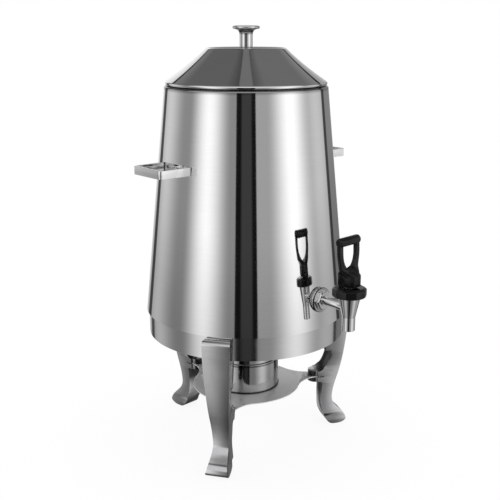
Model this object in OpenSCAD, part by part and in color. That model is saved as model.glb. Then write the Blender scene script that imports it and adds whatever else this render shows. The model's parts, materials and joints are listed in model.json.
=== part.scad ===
// Coffee urn on a three-legged stand, with a fuel burner below and a lever tap.
// Millimetres, +Z up. The origin is on the floor under the middle of the body.
// The tap points along -Y. The body, its tap and its lid lift off the stand.

/* [Body] */
// Outer radius of the body at its bottom edge
body_bottom_r = 133; // [125:0.1:142]
// Outer radius of the body just under its rolled rim
body_top_r = 104.3; // [96:0.1:116]
// Height of the body from its bottom edge to the top of its rim
body_h = 292.1; // [240:0.1:340]
// Thickness of the sheet steel of the body, the lid and the stand ring
sheet = 1; // [0.8:0.1:1.4]
// Radius of the roll along the body's rim
rim_bead_r = 2.9; // [2.2:0.1:3.4]
// How far the pressed bottom hangs below the body's edge
dish_depth = 7; // [4:0.5:10]

/* [Lid] */
// Radius of the roll along the lid's edge
lid_bead_r = 2.8; // [2.2:0.1:3.4]
// How far the lid's roll lies inside the body's roll
lid_inset = 1.5; // [0.8:0.1:4]
// Rise of the lid from the middle of its roll to its flat top
lid_h = 43.6; // [32:0.1:56]
// Radius of the lid's flat top
lid_flat_r = 46; // [36:0.5:54]
// Radius of the bend between the flat top and the flank
lid_shoulder_r = 8; // [5:0.5:12]
// Slope of the flank beside the flat top, in degrees
lid_top_slope = 43.5; // [40:0.5:48]
// Slope of the flank beside the roll, in degrees
lid_rim_slope = 33.8; // [28:0.1:37]
// How far the locating ring reaches down into the body
lid_ring_h = 11; // [6:0.5:16]

/* [Knob] */
// Radius of the knob's disc
knob_r = 17.2; // [14:0.1:24]
// Radius of the knob's stem
knob_stem_r = 8.2; // [7:0.1:10]
// Height of the knob above the lid
knob_h = 27.1; // [22:0.1:36]
// Thickness of the knob's disc
knob_disc_t = 4.2; // [3:0.1:6]

/* [Handles] */
// Width of a handle along the body, over its arms
handle_w = 58; // [46:0.5:76]
// How far a handle stands out from the body
handle_reach = 41; // [28:0.5:50]
// Height of the flat bar that a handle is bent from
handle_bar_h = 10.4; // [7:0.1:14]
// Thickness of that bar
handle_bar_t = 3; // [2:0.1:4]
// Outer radius of the bends of the bar
handle_bend_r = 5; // [4.5:0.5:8]
// Height of the middle of the handles above the body's bottom edge
handle_up = 196.2; // [150:0.1:225]
// Turn of the pair of handles about the body, away from square to the tap
handle_turn = -5; // [-8:0.5:8]

/* [Tap] */
// Distance from the body's wall to the middle of the spout
tap_reach = 45.6; // [42:0.1:60]
// Height of the tap's arm above the body's bottom edge
tap_up = 36.5; // [34:0.1:60]
// Outer radius of the spout
spout_r = 8.1; // [7.4:0.1:8.8]
// Radius of the spout's bore
spout_bore_r = 5.8; // [4.5:0.1:6.2]
// Length of the straight spout below the valve
spout_l = 17; // [12:0.5:26]
// Radius of the threaded shank
shank_r = 6.3; // [6:0.1:7]
// Radius of the flange against the body
flange_r = 15.7; // [14.5:0.1:19]
// Radius of the ten-sided bonnet nut over its corners
bonnet_r = 20.85; // [18:0.05:24]
// Height of the bonnet nut
bonnet_h = 11; // [10.4:0.1:16]
// Radius of the stem where it passes the bonnet nut
stem_r = 4; // [3.6:0.1:4.4]
// How far the stem lifts when the tap is open
stem_lift = 3; // [2.4:0.1:4]
// Turns of the return spring
spring_turns = 4.5; // [3:0.5:5]

/* [Lever] */
// How far the lever tilts forward to open the tap, in degrees
lever_travel = 32; // [24:1:36]
// Height of the pivot pin above the bonnet nut
pin_up = 10.6; // [9:0.1:12]
// Radius of the pivot pin
pin_r = 1.5; // [1.2:0.1:2]
// Thickness of the lever's foot across the tap
foot_w = 11.5; // [10.5:0.5:15]
// Length of the lever's foot behind the pin
foot_back = 13.5; // [10:0.5:15]
// Height of the grip bar's axis above the pin
grip_up = 45.5; // [38:0.5:60]
// Length of the grip bar
grip_l = 37; // [34:0.1:50]
// Radius of the grip bar
grip_r = 5.5; // [4.5:0.1:7]
// Lean of the grip towards the body, in degrees
grip_lean = 2.5; // [0:0.5:8]
// How far the grip's eye stands behind the pin
eye_back = 2.5; // [0:0.5:4]

/* [Stand] */
// How far the stand ring lies inside the body's bottom edge
ring_inset = 3; // [2.4:0.1:10]
// Height of the stand ring
ring_h = 30.4; // [24:0.1:38]
// Height of the ring's lower edge above the floor
ring_z = 155.4; // [150:0.1:190]
// How far a leg stands out from the ring
leg_proud = 13.5; // [10:0.5:18]
// Width of a leg at its top
leg_top_w = 36; // [30:0.5:44]
// Width of a leg at its ankle
ankle_w = 20.6; // [16:0.2:26]
// Width of a leg at its toe
toe_w = 30; // [26:0.5:40]
// How far the toes reach outside the stand ring
toe_out = 14; // [10:0.5:22]
// Height of the shelf that carries the burner
tray_z = 73.6; // [68:0.1:80]

/* [Burner] */
// Radius of the shelf's round middle
tray_r = 73; // [62:0.5:78]
// Width of the shelf's arms at the legs
arm_w = 18; // [14:0.5:20]
// Radius of the burner cup
burner_r = 44; // [36:0.5:50]
// Height of the burner cup
burner_h = 39.4; // [30:0.2:46]
// Height of the collar that sits on the cup
collar_h = 11; // [8:0.5:14]
// Radius of the burner's opening
flame_r = 24; // [18:0.5:25]

/* [Hidden] */
$fn = 96;

// Clearances
fit = 0.05;      // a screw or pin in its own hole, or a sheet in its slot
run = 0.08;      // a sliding or turning piece in its bore
seat_gap = 0.3;  // loose pieces that rest on one another
over = 1;        // how far a cut runs past what it cuts

// Heights
body_z = ring_z + ring_h;
rim_z = body_z + body_h - rim_bead_r;
tap_z = body_z + tap_up;
handle_z = body_z + handle_up;

// Legs stand at these angles from the tap, seen from above
leg_angles = [-60, 60, 180];
ring_r = body_bottom_r - ring_inset;
leg_top_gap = 2.8;
leg_top = body_z - leg_top_gap;
leg_out = ring_r + leg_proud;
leg_corner_r = 6;
leg_edge = 1;
// the pad inside the ring
pad_in = ring_r - 18;
pad_z = ring_z - 43.4;
pad_top = ring_z + 16.6;
leg_screw_up = 9;
leg_screw_z = ring_z + leg_screw_up;
// the shin, the ankle and the foot
shin_z = 80;
shin_out = ring_r + 1.5;
ankle_z = 41;
ankle_out = ring_r - 6.6;
calf_in = ring_r - 23.1;
toe_r = ring_r + toe_out;
toe_h = 8;
toe_side_h = 6;
toe_roll = 16;
heel_floor = 19.5;
heel_out = 34;
heel_z = 18;
// the boss that carries the shelf
boss_top = tray_z + 7.6;
boss_bottom = tray_z - 8.2;
boss_r = ring_r - 29;
boss_w = 20.4;
boss_web = 4.3;
boss_web_h = 4.4;
slot_out = boss_r + 9.6;

// Screws
leg_screw_r = 2.5;
leg_screw_head_r = 4.6;
leg_screw_head_h = 2.8;
leg_screw_bite = 8;
shelf_screw_r = 2;
shelf_screw_head_r = 3.8;
shelf_screw_head_h = 2.3;
shelf_screw_bite = 5;

// Body
bottom_t = 1.2;
bottom_flange_h = 8;
dish_r = ring_r - 9;
lip_w = 5;
wall_slope = (body_top_r - body_bottom_r) / (rim_z - body_z);

// Shelf and burner
shelf_t = 1.2;
arm_end = boss_r + 5;
cup_t = 0.8;
cup_foot_h = 2;
cup_foot_out = 1.2;
collar_skirt = 8;
snuffer_t = 1.2;
snuffer_over = 3;
snuffer_pivot = flame_r + 10;
rivet_r = 2;
burner_top = tray_z + burner_h + collar_h;

// Tap, measured from the middle of the spout
tap_y = -(wall_r(tap_z) + tap_reach);
seat_z = tap_z - 4.5;
cone_z = seat_z - 7;
neck_r = 11.8;
neck_z = tap_z + 14.4;
cone_r = 13.7;
tap_edge = 0.4;
bonnet_z = neck_z + 0.5;
bonnet_top = bonnet_z + bonnet_h;
bonnet_wall = 3.4;
chamber_top = bonnet_top - bonnet_wall;
chamber_r = 8.2;
inlet_r = 4;
spout_end = cone_z - spout_l;
gasket_t = 2;
gasket_r = flange_r - 3;
flange_t = 1.6;
hex_r = 12.2;
hex_t = 5;
hex_corner_step = 1.2;
arm_start = gasket_t + flange_t + hex_t + 0.8;
arm_r = 5.5;
arm_flare = 1.2;
washer_t = 1.5;
lock_nut_r = 13;
lock_nut_t = 6;
shank_past = 4;
plug_r = 7.3;
plug_h = 12;
seat_lip_h = 0.8;
plug_z = seat_z + seat_lip_h + 0.1;
plug_top = plug_z + plug_h;
stem_foot_r = 2.5;
wire_r = 0.6;
spring_r = 6;

// Lever, measured from its pin
pin_z = bonnet_top + pin_up;
cam_drop = pin_up - seat_gap;
cam_rate = stem_lift * 180 / PI / lever_travel;
cam_end = lever_travel + 2;
tang_t = 4;
slot_clear = 0.25;
foot_top = 7;
neck_top = 14;
neck_w = 30;
neck_t = 5.5;
eye_bottom = 9.2;
eye_top = grip_up - grip_r + 0.5;
eye_leg_w = 5;
eye_plate_w = grip_l - 1.4;
eye_w = eye_plate_w - 2 * eye_leg_w;

// Lid
rim_r = body_top_r - rim_bead_r;
lid_r = rim_r - lid_inset;
beads_apart = rim_bead_r + lid_bead_r + seat_gap;
lid_z = rim_z + sqrt(beads_apart * beads_apart - lid_inset * lid_inset);
lid_top = lid_z + lid_h;
lid_ring_r = rim_r - rim_bead_r - 0.6;
lid_ring_t = 0.8;
knob_screw_r = 2.5;
knob_screw_bite = 10;
knob_screw_head_r = 4.7;
knob_screw_head_h = 3;
knob_washer_r = 8;
knob_washer_t = 1;

// Outer radius of the body's wall at height z
function wall_r(z) = body_bottom_r + wall_slope * (z - body_z);

// Points of a cubic curve from a to d, without its first point
function curve(a, b, c, d, n = 8) = [
  for (i = [1:n])
    let (t = i / n, s = 1 - t)
    s * s * s * a + 3 * s * s * t * b + 3 * s * t * t * c + t * t * t * d
];

// Points of an arc about [x, y], from angle a0 to a1
function arc(x, y, r, a0, a1, n = 6) = [
  for (i = [0:n])
    let (a = a0 + (a1 - a0) * i / n)
    [x + r * cos(a), y + r * sin(a)]
];

// Points of an outline moved to its right-hand side by t
function beside(p, t) = [
  for (i = [0:len(p) - 1])
    let (d = p[min(i + 1, len(p) - 1)] - p[max(i - 1, 0)])
    p[i] + t * [d[1], -d[0]] / norm(d)
];

function reversed(p) = [for (i = [len(p) - 1:-1:0]) p[i]];

// Turns a piece made along +X to an angle from the tap
module at_angle(a) {
  rotate([0, 0, a - 90]) children();
}

// ---------- Stand ----------

module stand_ring() {
  color("silver")
  difference() {
    rotate_extrude() polygon([
      [ring_r - sheet, ring_z],
      [ring_r, ring_z],
      [ring_r, body_z - sheet],
      [ring_r - sheet, body_z],
      [ring_r - lip_w, body_z],
      [ring_r - lip_w, body_z - sheet],
      [ring_r - sheet, body_z - sheet]
    ]);
    for (a = leg_angles)
      at_angle(a) translate([ring_r - lip_w, 0, leg_screw_z])
        rotate([0, 90, 0]) cylinder(r = leg_screw_r + fit, h = lip_w + over);
  }
}

// A curve from a to d. The two points that bend it lie at shares b and c of the way.
function swing(a, b, c, d, n) = curve(
  a,
  [a[0] + (d[0] - a[0]) * b[0], a[1] + (d[1] - a[1]) * b[1]],
  [a[0] + (d[0] - a[0]) * c[0], a[1] + (d[1] - a[1]) * c[1]],
  d, n
);

// The leg seen from its side: x is the distance from the middle, y the height
function leg_side() =
  let (
    shoulder = [leg_out, leg_top - leg_corner_r],
    shin = [shin_out, shin_z],
    ankle = [ankle_out, ankle_z],
    toe = [toe_r, toe_h],
    heel = [toe_r - heel_out, heel_z],
    calf = [calf_in + 1.6, boss_bottom - boss_web_h]
  )
  concat(
    [[ring_r, leg_top], [leg_out - leg_corner_r, leg_top]],
    arc(leg_out - leg_corner_r, leg_top - leg_corner_r, leg_corner_r, 90, 0, 4),
    swing(shoulder, [0.17, 0.3], [0.375, 0.72], shin, 10),
    swing(shin, [0.42, 0.32], [1, 0.67], ankle, 6),
    swing(ankle, [0, 0.49], [0.9, 0.615], toe, 8),
    swing(toe, [0, 0.55], [0.45, 1], [toe_r - toe_roll, 0], 8),
    [[toe_r - heel_floor, 0]],
    swing([toe_r - heel_floor, 0], [0.37, 0], [0.73, 0.39], heel, 6),
    curve(heel, [calf_in, heel_z + 0.2 * (calf[1] - heel_z)],
          [calf_in, heel_z + 0.7 * (calf[1] - heel_z)], calf, 6),
    swing(calf, [0.15, 0.68], [0.46, 1], [boss_r + boss_web, boss_bottom], 4),
    [[boss_r - boss_w, boss_bottom], [boss_r - boss_w, boss_top], [boss_r, boss_top]],
    swing([boss_r, boss_top], [0.45, 0], [0.93, 0.46], [ring_r - 9.5, pad_z], 10),
    [[pad_in, pad_z], [pad_in, pad_top], [ring_r, pad_top]]
  );

// Half of the leg seen from its front: x is the half width, y the height
function leg_half() =
  let (
    toe = [toe_w / 2, toe_side_h],
    ankle = [ankle_w / 2, ankle_z],
    shoulder = [leg_top_w / 2, leg_top - leg_edge]
  )
  concat(
    [[0, 0], [toe_w / 2, 0], toe],
    swing(toe, [0.53, 0.29], [1.1, 0.69], ankle, 6),
    swing(ankle, [0.22, 0.22], [0.935, 0.67], shoulder, 8),
    [[leg_top_w / 2 - leg_edge, leg_top], [0, leg_top]]
  );

module leg(a) {
  color("lightgray")
  at_angle(a)
  difference() {
    intersection() {
      translate([0, leg_top_w, 0]) rotate([90, 0, 0])
        linear_extrude(height = 2 * leg_top_w) polygon(leg_side());
      union() {
        rotate([90, 0, 90]) linear_extrude(height = 2 * toe_r) {
          polygon(leg_half());
          mirror([1, 0]) polygon(leg_half());
        }
        translate([0, -boss_w / 2, boss_bottom - over])
          cube([slot_out, boss_w, boss_top - boss_bottom + 8]);
      }
      // the boss has a round end
      union() {
        translate([boss_r, 0, -over]) cylinder(r = boss_w / 2, h = leg_top + 2 * over);
        translate([boss_r, -leg_top_w, -over])
          cube([leg_out, 2 * leg_top_w, leg_top + 2 * over]);
      }
    }
    // slot for the stand ring
    difference() {
      translate([0, 0, ring_z]) cylinder(r = ring_r + fit, h = ring_h, $fn = 192);
      translate([0, 0, ring_z - over])
        cylinder(r = ring_r - sheet - fit, h = ring_h + 2 * over, $fn = 192);
    }
    // slot for the shelf
    translate([0, -leg_top_w, tray_z - shelf_t])
      cube([slot_out, 2 * leg_top_w, shelf_t + 2 * fit]);
    // screw holes
    translate([pad_in - over, 0, leg_screw_z]) rotate([0, 90, 0])
      cylinder(r = leg_screw_r + fit, h = ring_r - pad_in + over + leg_screw_bite + 1);
    translate([boss_r, 0, boss_bottom - over])
      cylinder(r = shelf_screw_r + fit, h = tray_z - boss_bottom + over + shelf_screw_bite + 1);
    translate([boss_r, 0, boss_bottom - over])
      cylinder(r = shelf_screw_head_r + fit, h = shelf_screw_head_h + over);
  }
}

module leg_front_left() { leg(leg_angles[0]); }
module leg_front_right() { leg(leg_angles[1]); }
module leg_rear() { leg(leg_angles[2]); }

// A pan-head screw along +Z with its head below z = 0
module screw(r, l, head_r, head_h) {
  cylinder(r = r, h = l);
  translate([0, 0, -head_h]) difference() {
    union() {
      translate([0, 0, 0.6]) cylinder(r = head_r, h = head_h - 0.6);
      cylinder(r1 = head_r - 0.6, r2 = head_r, h = 0.6);
    }
    translate([0, 0, -over]) cylinder(r = head_r * 0.5, h = 1.2 + over, $fn = 6);
  }
}

module leg_screws() {
  color("gainsboro")
  for (a = leg_angles)
    at_angle(a) translate([pad_in, 0, leg_screw_z]) rotate([0, 90, 0])
      screw(leg_screw_r, ring_r - pad_in + leg_screw_bite, leg_screw_head_r, leg_screw_head_h);
}

// ---------- Shelf and burner ----------

// Each arm runs into the round middle along a circle that touches both
fillet_x = boss_r + 2;
fillet_r = (fillet_x * fillet_x - tray_r * tray_r + arm_w * arm_w / 4) / (2 * tray_r - arm_w);

module burner_shelf() {
  fy = arm_w / 2 + fillet_r;
  side = arc(fillet_x, fy, fillet_r, 180 + atan2(fy, fillet_x), 270, 10);
  color("gainsboro")
  translate([0, 0, tray_z - shelf_t]) difference() {
    linear_extrude(height = shelf_t) {
      circle(r = tray_r);
      for (a = leg_angles)
        at_angle(a) polygon(concat(
          [[0, 0], side[0] - [0.1, 0.1]],
          side,
          [[arm_end, arm_w / 2], [arm_end, -arm_w / 2]],
          [for (p = reversed(side)) [p[0], -p[1]]],
          [[side[0][0] - 0.1, 0.1 - side[0][1]]]
        ));
    }
    for (a = leg_angles)
      at_angle(a) translate([boss_r, 0, -over])
        cylinder(r = shelf_screw_r + fit, h = shelf_t + 2 * over);
  }
}

module shelf_screws() {
  color("gainsboro")
  for (a = leg_angles)
    at_angle(a) translate([boss_r, 0, boss_bottom + shelf_screw_head_h])
      screw(shelf_screw_r, tray_z - boss_bottom - shelf_screw_head_h + shelf_screw_bite,
            shelf_screw_head_r, shelf_screw_head_h);
}

module burner_cup() {
  color("silver")
  translate([0, 0, tray_z]) rotate_extrude() polygon([
    [0, 0],
    [burner_r + cup_foot_out, 0],
    [burner_r + cup_foot_out, cup_foot_h - 0.6],
    [burner_r, cup_foot_h],
    [burner_r, burner_h],
    [burner_r - cup_t, burner_h],
    [burner_r - cup_t, cup_foot_h],
    [0, cup_foot_h]
  ]);
}

module burner_collar() {
  inner = burner_r - cup_t - run;
  color("silver")
  translate([0, 0, tray_z + burner_h]) difference() {
    rotate_extrude() polygon([
      [inner - cup_t, -collar_skirt],
      [inner, -collar_skirt],
      [inner, 0],
      [burner_r + 0.6, 0],
      [burner_r + 0.6, 1.4],
      [burner_r - 1, 2.4],
      [burner_r - 1, collar_h - 2],
      [burner_r - 3, collar_h],
      [flame_r, collar_h],
      [flame_r, collar_h - cup_t],
      [burner_r - 3.4, collar_h - cup_t],
      [inner - cup_t, collar_h - 2.6]
    ]);
    translate([0, snuffer_pivot, 0]) cylinder(r = rivet_r + fit, h = collar_h + over);
  }
}

module snuffer() {
  tab_w = 12;
  tab_end = burner_r + 12;
  color("silver")
  translate([0, 0, burner_top + seat_gap]) difference() {
    linear_extrude(height = snuffer_t) {
      circle(r = flame_r + snuffer_over);
      translate([0, snuffer_pivot]) circle(r = 6);
      translate([-6, 0]) square([12, snuffer_pivot]);
      translate([0, -tab_w / 2]) square([tab_end - tab_w / 2, tab_w]);
      translate([tab_end - tab_w / 2, 0]) circle(r = tab_w / 2);
    }
    translate([0, snuffer_pivot, -over]) cylinder(r = rivet_r + run, h = snuffer_t + 2 * over);
  }
}

module snuffer_rivet() {
  color("gainsboro")
  translate([0, snuffer_pivot, burner_top]) {
    translate([0, 0, -cup_t - 1]) cylinder(r = rivet_r, h = cup_t + 1 + snuffer_t + 2 * seat_gap);
    translate([0, 0, -cup_t - 1]) cylinder(r = 3.4, h = 1);
    translate([0, 0, snuffer_t + 2 * seat_gap]) cylinder(r1 = 3.6, r2 = 2.2, h = 1.4);
  }
}

// ---------- Body ----------

module urn_shell() {
  color("silver")
  difference() {
    rotate_extrude($fn = 192) union() {
      polygon([
        [body_bottom_r - sheet, body_z],
        [body_bottom_r, body_z],
        [body_top_r, rim_z],
        [body_top_r - sheet, rim_z]
      ]);
      translate([rim_r, rim_z]) circle(r = rim_bead_r, $fn = 48);
    }
    translate([0, 0, tap_z]) rotate([90, 0, 0])
      cylinder(r = shank_r + 0.5, h = body_bottom_r + over);
  }
}

// Room inside the wall, up to height z
module inside_wall(z) {
  inset = sheet + 3 * fit;
  translate([0, 0, body_z])
    cylinder(r1 = body_bottom_r - inset, r2 = wall_r(z) - inset, h = z - body_z, $fn = 192);
}

// Space that the body fills, up to height z
module outside_wall(z) {
  translate([0, 0, body_z])
    cylinder(r1 = body_bottom_r, r2 = wall_r(z), h = z - body_z, $fn = 192);
}

module urn_bottom() {
  flange_in = wall_r(body_z + bottom_flange_h) - sheet - bottom_t;
  color("darkgray")
  rotate_extrude($fn = 192) polygon([
    [0, body_z - dish_depth],
    [dish_r - 4, body_z - dish_depth],
    [dish_r, body_z],
    [body_bottom_r - sheet, body_z],
    [wall_r(body_z + bottom_flange_h) - sheet, body_z + bottom_flange_h],
    [flange_in, body_z + bottom_flange_h],
    [body_bottom_r - sheet - bottom_t - 0.6, body_z + bottom_t],
    [dish_r - 0.8, body_z + bottom_t],
    [dish_r - 4.8, body_z - dish_depth + bottom_t],
    [0, body_z - dish_depth + bottom_t]
  ]);
}

// A slab from x0 to x1 with two round corners at its outer end
module round_slab(x0, x1, half_w, corner) {
  translate([x0, -half_w]) square([x1 - corner - x0, 2 * half_w]);
  translate([x0, corner - half_w]) square([x1 - x0, 2 * (half_w - corner)]);
  for (side = [-1, 1])
    translate([x1 - corner, side * (half_w - corner)]) circle(r = corner);
}

module handle(a) {
  reach_r = wall_r(handle_z) + handle_reach;
  color("silver")
  at_angle(a) difference() {
    translate([0, 0, handle_z - handle_bar_h / 2]) linear_extrude(height = handle_bar_h)
      difference() {
        round_slab(body_top_r / 2, reach_r, handle_w / 2, handle_bend_r);
        round_slab(body_top_r / 2 - over, reach_r - handle_bar_t, handle_w / 2 - handle_bar_t,
                   handle_bend_r - handle_bar_t);
      }
    outside_wall(rim_z);
  }
}

module handle_left() { handle(-90 + handle_turn); }
module handle_right() { handle(90 + handle_turn); }

// ---------- Tap ----------

// Puts a piece made along +Z on the shank's axis, d out from the wall
module on_shank(d) {
  translate([0, -(wall_r(tap_z) + d), tap_z]) rotate([90, 0, 0]) children();
}

module tap_body() {
  color("silver")
  difference() {
    union() {
      translate([0, tap_y, 0]) rotate_extrude() polygon([
        [0, spout_end],
        [spout_r - tap_edge, spout_end],
        [spout_r, spout_end + tap_edge],
        [spout_r, cone_z],
        [cone_r, neck_z - tap_edge],
        [cone_r - tap_edge, neck_z],
        [neck_r, neck_z],
        [neck_r, chamber_top - tap_edge],
        [0, chamber_top - tap_edge]
      ]);
      on_shank(arm_start) cylinder(r1 = arm_r, r2 = arm_r + arm_flare, h = tap_reach - arm_start);
      on_shank(-sheet - gasket_t - washer_t - lock_nut_t - shank_past)
        cylinder(r = shank_r,
                 h = sheet + gasket_t + washer_t + lock_nut_t + shank_past + arm_start);
    }
    // chamber, seat and spout
    translate([0, tap_y, seat_z + seat_lip_h]) cylinder(r = chamber_r, h = chamber_top - seat_z);
    translate([0, tap_y, seat_z]) difference() {
      cylinder(r = chamber_r, h = seat_lip_h + over);
      translate([0, 0, -over]) cylinder(r = spout_bore_r + 0.9, h = over + seat_lip_h);
    }
    translate([0, tap_y, spout_end - over])
      cylinder(r = spout_bore_r, h = seat_z - spout_end + seat_lip_h + 2 * over);
    // way in from the body
    on_shank(-sheet - gasket_t - washer_t - lock_nut_t - shank_past - over)
      cylinder(r = inlet_r,
               h = sheet + gasket_t + washer_t + lock_nut_t + shank_past + over + tap_reach);
  }
}

module tap_gasket() {
  color("dimgray")
  difference() {
    on_shank(-3) cylinder(r = gasket_r, h = gasket_t + 3);
    on_shank(-3 - over) cylinder(r = shank_r + fit, h = gasket_t + 3 + 2 * over);
    outside_wall(tap_z + 2 * flange_r);
  }
}

module tap_flange() {
  color("silver")
  on_shank(gasket_t) difference() {
    union() {
      cylinder(r = flange_r, h = flange_t - 0.6);
      translate([0, 0, flange_t - 0.6]) cylinder(r1 = flange_r, r2 = flange_r - 0.6, h = 0.6);
    }
    translate([0, 0, -over]) cylinder(r = shank_r + fit, h = flange_t + 2 * over);
  }
}

module tap_hex_nut() {
  color("silver")
  on_shank(gasket_t + flange_t) difference() {
    intersection() {
      cylinder(r = hex_r, h = hex_t, $fn = 6);
      cylinder(r1 = hex_r + hex_t - hex_corner_step, r2 = hex_r - hex_corner_step, h = hex_t);
    }
    translate([0, 0, -over]) cylinder(r = shank_r + fit, h = hex_t + 2 * over);
  }
}

module tap_inner_gasket() {
  color("dimgray")
  difference() {
    intersection() {
      on_shank(-sheet - gasket_t) cylinder(r = gasket_r, h = gasket_t + sheet + 2);
      inside_wall(tap_z + 2 * flange_r);
    }
    on_shank(-sheet - gasket_t - over) cylinder(r = shank_r + fit, h = gasket_t + 4 * over);
  }
}

module tap_washer() {
  color("silver")
  on_shank(-sheet - gasket_t - washer_t) difference() {
    cylinder(r = gasket_r - 0.5, h = washer_t);
    translate([0, 0, -over]) cylinder(r = shank_r + fit, h = washer_t + 2 * over);
  }
}

module tap_lock_nut() {
  color("silver")
  on_shank(-sheet - gasket_t - washer_t - lock_nut_t) difference() {
    cylinder(r = lock_nut_r, h = lock_nut_t, $fn = 6);
    translate([0, 0, -over]) cylinder(r = shank_r + fit, h = lock_nut_t + 2 * over);
  }
}

module bonnet_nut() {
  // one of the ten flats faces the front left
  turn = 27;
  corner_low = 1.2;
  corner_high = 2.2;
  corner_slope = 1.7;
  color("#202022")
  translate([0, tap_y, bonnet_z]) difference() {
    intersection() {
      rotate([0, 0, turn]) cylinder(r = bonnet_r, h = bonnet_h, $fn = 10);
      cylinder(r1 = bonnet_r - corner_low, r2 = bonnet_r - corner_low + bonnet_h, h = bonnet_h);
      cylinder(r1 = bonnet_r + corner_slope * (bonnet_h - corner_high),
               r2 = bonnet_r - corner_slope * corner_high, h = bonnet_h);
    }
    translate([0, 0, -over]) cylinder(r = neck_r + fit, h = bonnet_h - bonnet_wall + over);
    translate([0, 0, -over]) cylinder(r = stem_r + run, h = bonnet_h + 2 * over);
  }
}

module stem() {
  // the flats start low enough to stay inside the bonnet nut when the stem is up
  tang_z = bonnet_top - stem_lift - 2 * seat_gap;
  color("silver")
  translate([0, tap_y, 0]) difference() {
    union() {
      translate([0, 0, plug_z + 2]) cylinder(r = stem_foot_r, h = plug_top - plug_z - 2);
      translate([0, 0, plug_top]) cylinder(r = stem_r, h = tang_z - plug_top);
      intersection() {
        union() {
          translate([0, 0, tang_z]) cylinder(r = stem_r, h = pin_z - tang_z);
          translate([0, 0, pin_z]) rotate([0, 90, 0])
            cylinder(r = stem_r, h = 2 * stem_r, center = true);
        }
        translate([-tang_t / 2, -stem_r, tang_z])
          cube([tang_t, 2 * stem_r, pin_z - tang_z + stem_r]);
      }
    }
    translate([0, 0, pin_z]) rotate([0, 90, 0])
      cylinder(r = pin_r + run, h = 2 * foot_w, center = true);
  }
}

module valve_plug() {
  color("whitesmoke")
  translate([0, tap_y, plug_z]) difference() {
    rotate_extrude() polygon([
      [0, 0],
      [plug_r - 0.8, 0],
      [plug_r, 0.8],
      [plug_r, 3],
      [plug_r - 2.2, 5.5],
      [plug_r - 2.2, plug_h - 2.5],
      [plug_r, plug_h - 1.5],
      [plug_r, plug_h],
      [0, plug_h]
    ]);
    translate([0, 0, 2]) cylinder(r = stem_foot_r + fit, h = plug_h);
  }
}

// The spring is one round wire that winds up from the plug to the bonnet nut
module return_spring() {
  sides = 6;
  steps = 8 * spring_turns;
  low = plug_top + wire_r;
  rise = chamber_top - wire_r - low;
  points = [
    for (i = [0:steps])
      let (a = 360 * i / 8)
      for (k = [0:sides - 1])
        let (b = 360 * k / sides, d = spring_r + wire_r * cos(b))
        [d * cos(a), d * sin(a), low + rise * i / steps + wire_r * sin(b)]
  ];
  skin = [
    for (i = [0:steps - 1])
      for (k = [0:sides - 1])
        let (n = (k + 1) % sides, p = sides * i)
        each [
          [p + k, p + sides + n, p + n],
          [p + k, p + sides + k, p + sides + n]
        ]
  ];
  start = [for (k = [1:sides - 2]) [0, k, k + 1]];
  end = [for (k = [1:sides - 2]) [sides * steps, sides * steps + k + 1, sides * steps + k]];
  color("gainsboro")
  translate([0, tap_y, 0]) polyhedron(points = points, faces = concat(skin, start, end));
}

// ---------- Lever ----------

// The foot rolls on the bonnet nut. Its lower front edge is the involute of a
// circle of radius cam_rate, so the pin rises by the same amount for each degree.
function cam_point(a) =
  let (h = cam_drop + cam_rate * a * PI / 180)
  [h * sin(a) + cam_rate * cos(a), -h * cos(a) + cam_rate * sin(a)];

// The foot seen from its side: x is forward of the pin, y above it
function foot_side() = concat(
  [[1.5 - foot_back, -cam_drop]],
  [for (i = [0:8]) cam_point(cam_end * i / 8)],
  [cam_point(cam_end) + [0, cam_drop + foot_top - 4], cam_point(cam_end) + [-1.5, cam_drop + foot_top - 2]],
  [[1.5 - foot_back, foot_top], [-foot_back, foot_top - 1.5], [-foot_back, 1.5 - cam_drop]]
);

// Extrudes a side view, x forward and y up, to width w across the tap
module across(w) {
  translate([w / 2, 0, 0]) rotate([90, 0, -90]) linear_extrude(height = w) children();
}

module lever_slot() {
  r = stem_r + slot_clear;
  l = 2 * cam_drop;
  across(tang_t + 2 * slot_clear) {
    circle(r = r);
    polygon([
      [-r, 0],
      [0, 0],
      [r * cos(cam_end), r * sin(cam_end)],
      [r * cos(cam_end) + l * sin(cam_end), r * sin(cam_end) - l * cos(cam_end)],
      [-r, -l]
    ]);
  }
}

// Puts a piece drawn upright on the eye, which leans towards the body
module on_eye() {
  translate([0, eye_back, neck_top]) rotate([-grip_lean, 0, 0]) translate([0, 0, -neck_top])
    children();
}

// One half of the eye's outline, and of its opening, from the bottom up
function eye_side(low_w, high_w, low, bend) = concat(
  [[low_w / 2, low]],
  curve([low_w / 2, low], [low_w / 2 + bend[0], low + bend[1]],
        [high_w / 2, low + bend[2]], [high_w / 2, eye_top - 8]),
  [[high_w / 2, grip_up]]
);

// Extrudes both halves of an outline of the eye to thickness t
module eye_plate(half, t) {
  rotate([90, 0, 0]) linear_extrude(height = t, center = true)
    polygon(concat(half, [for (p = reversed(half)) [-p[0], p[1]]]));
}

// Top of the lever's foot, from y0 to y1
module foot_slab(y0, y1) {
  translate([-foot_w / 2, y0, foot_top - 3]) cube([foot_w, y1 - y0, 1]);
}

// A slab of the eye's thickness under it, of width w and with its top at z
module neck_slab(w, z) {
  translate([-w / 2, eye_back - neck_t / 2, z - 1]) cube([w, neck_t, 1]);
}

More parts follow.
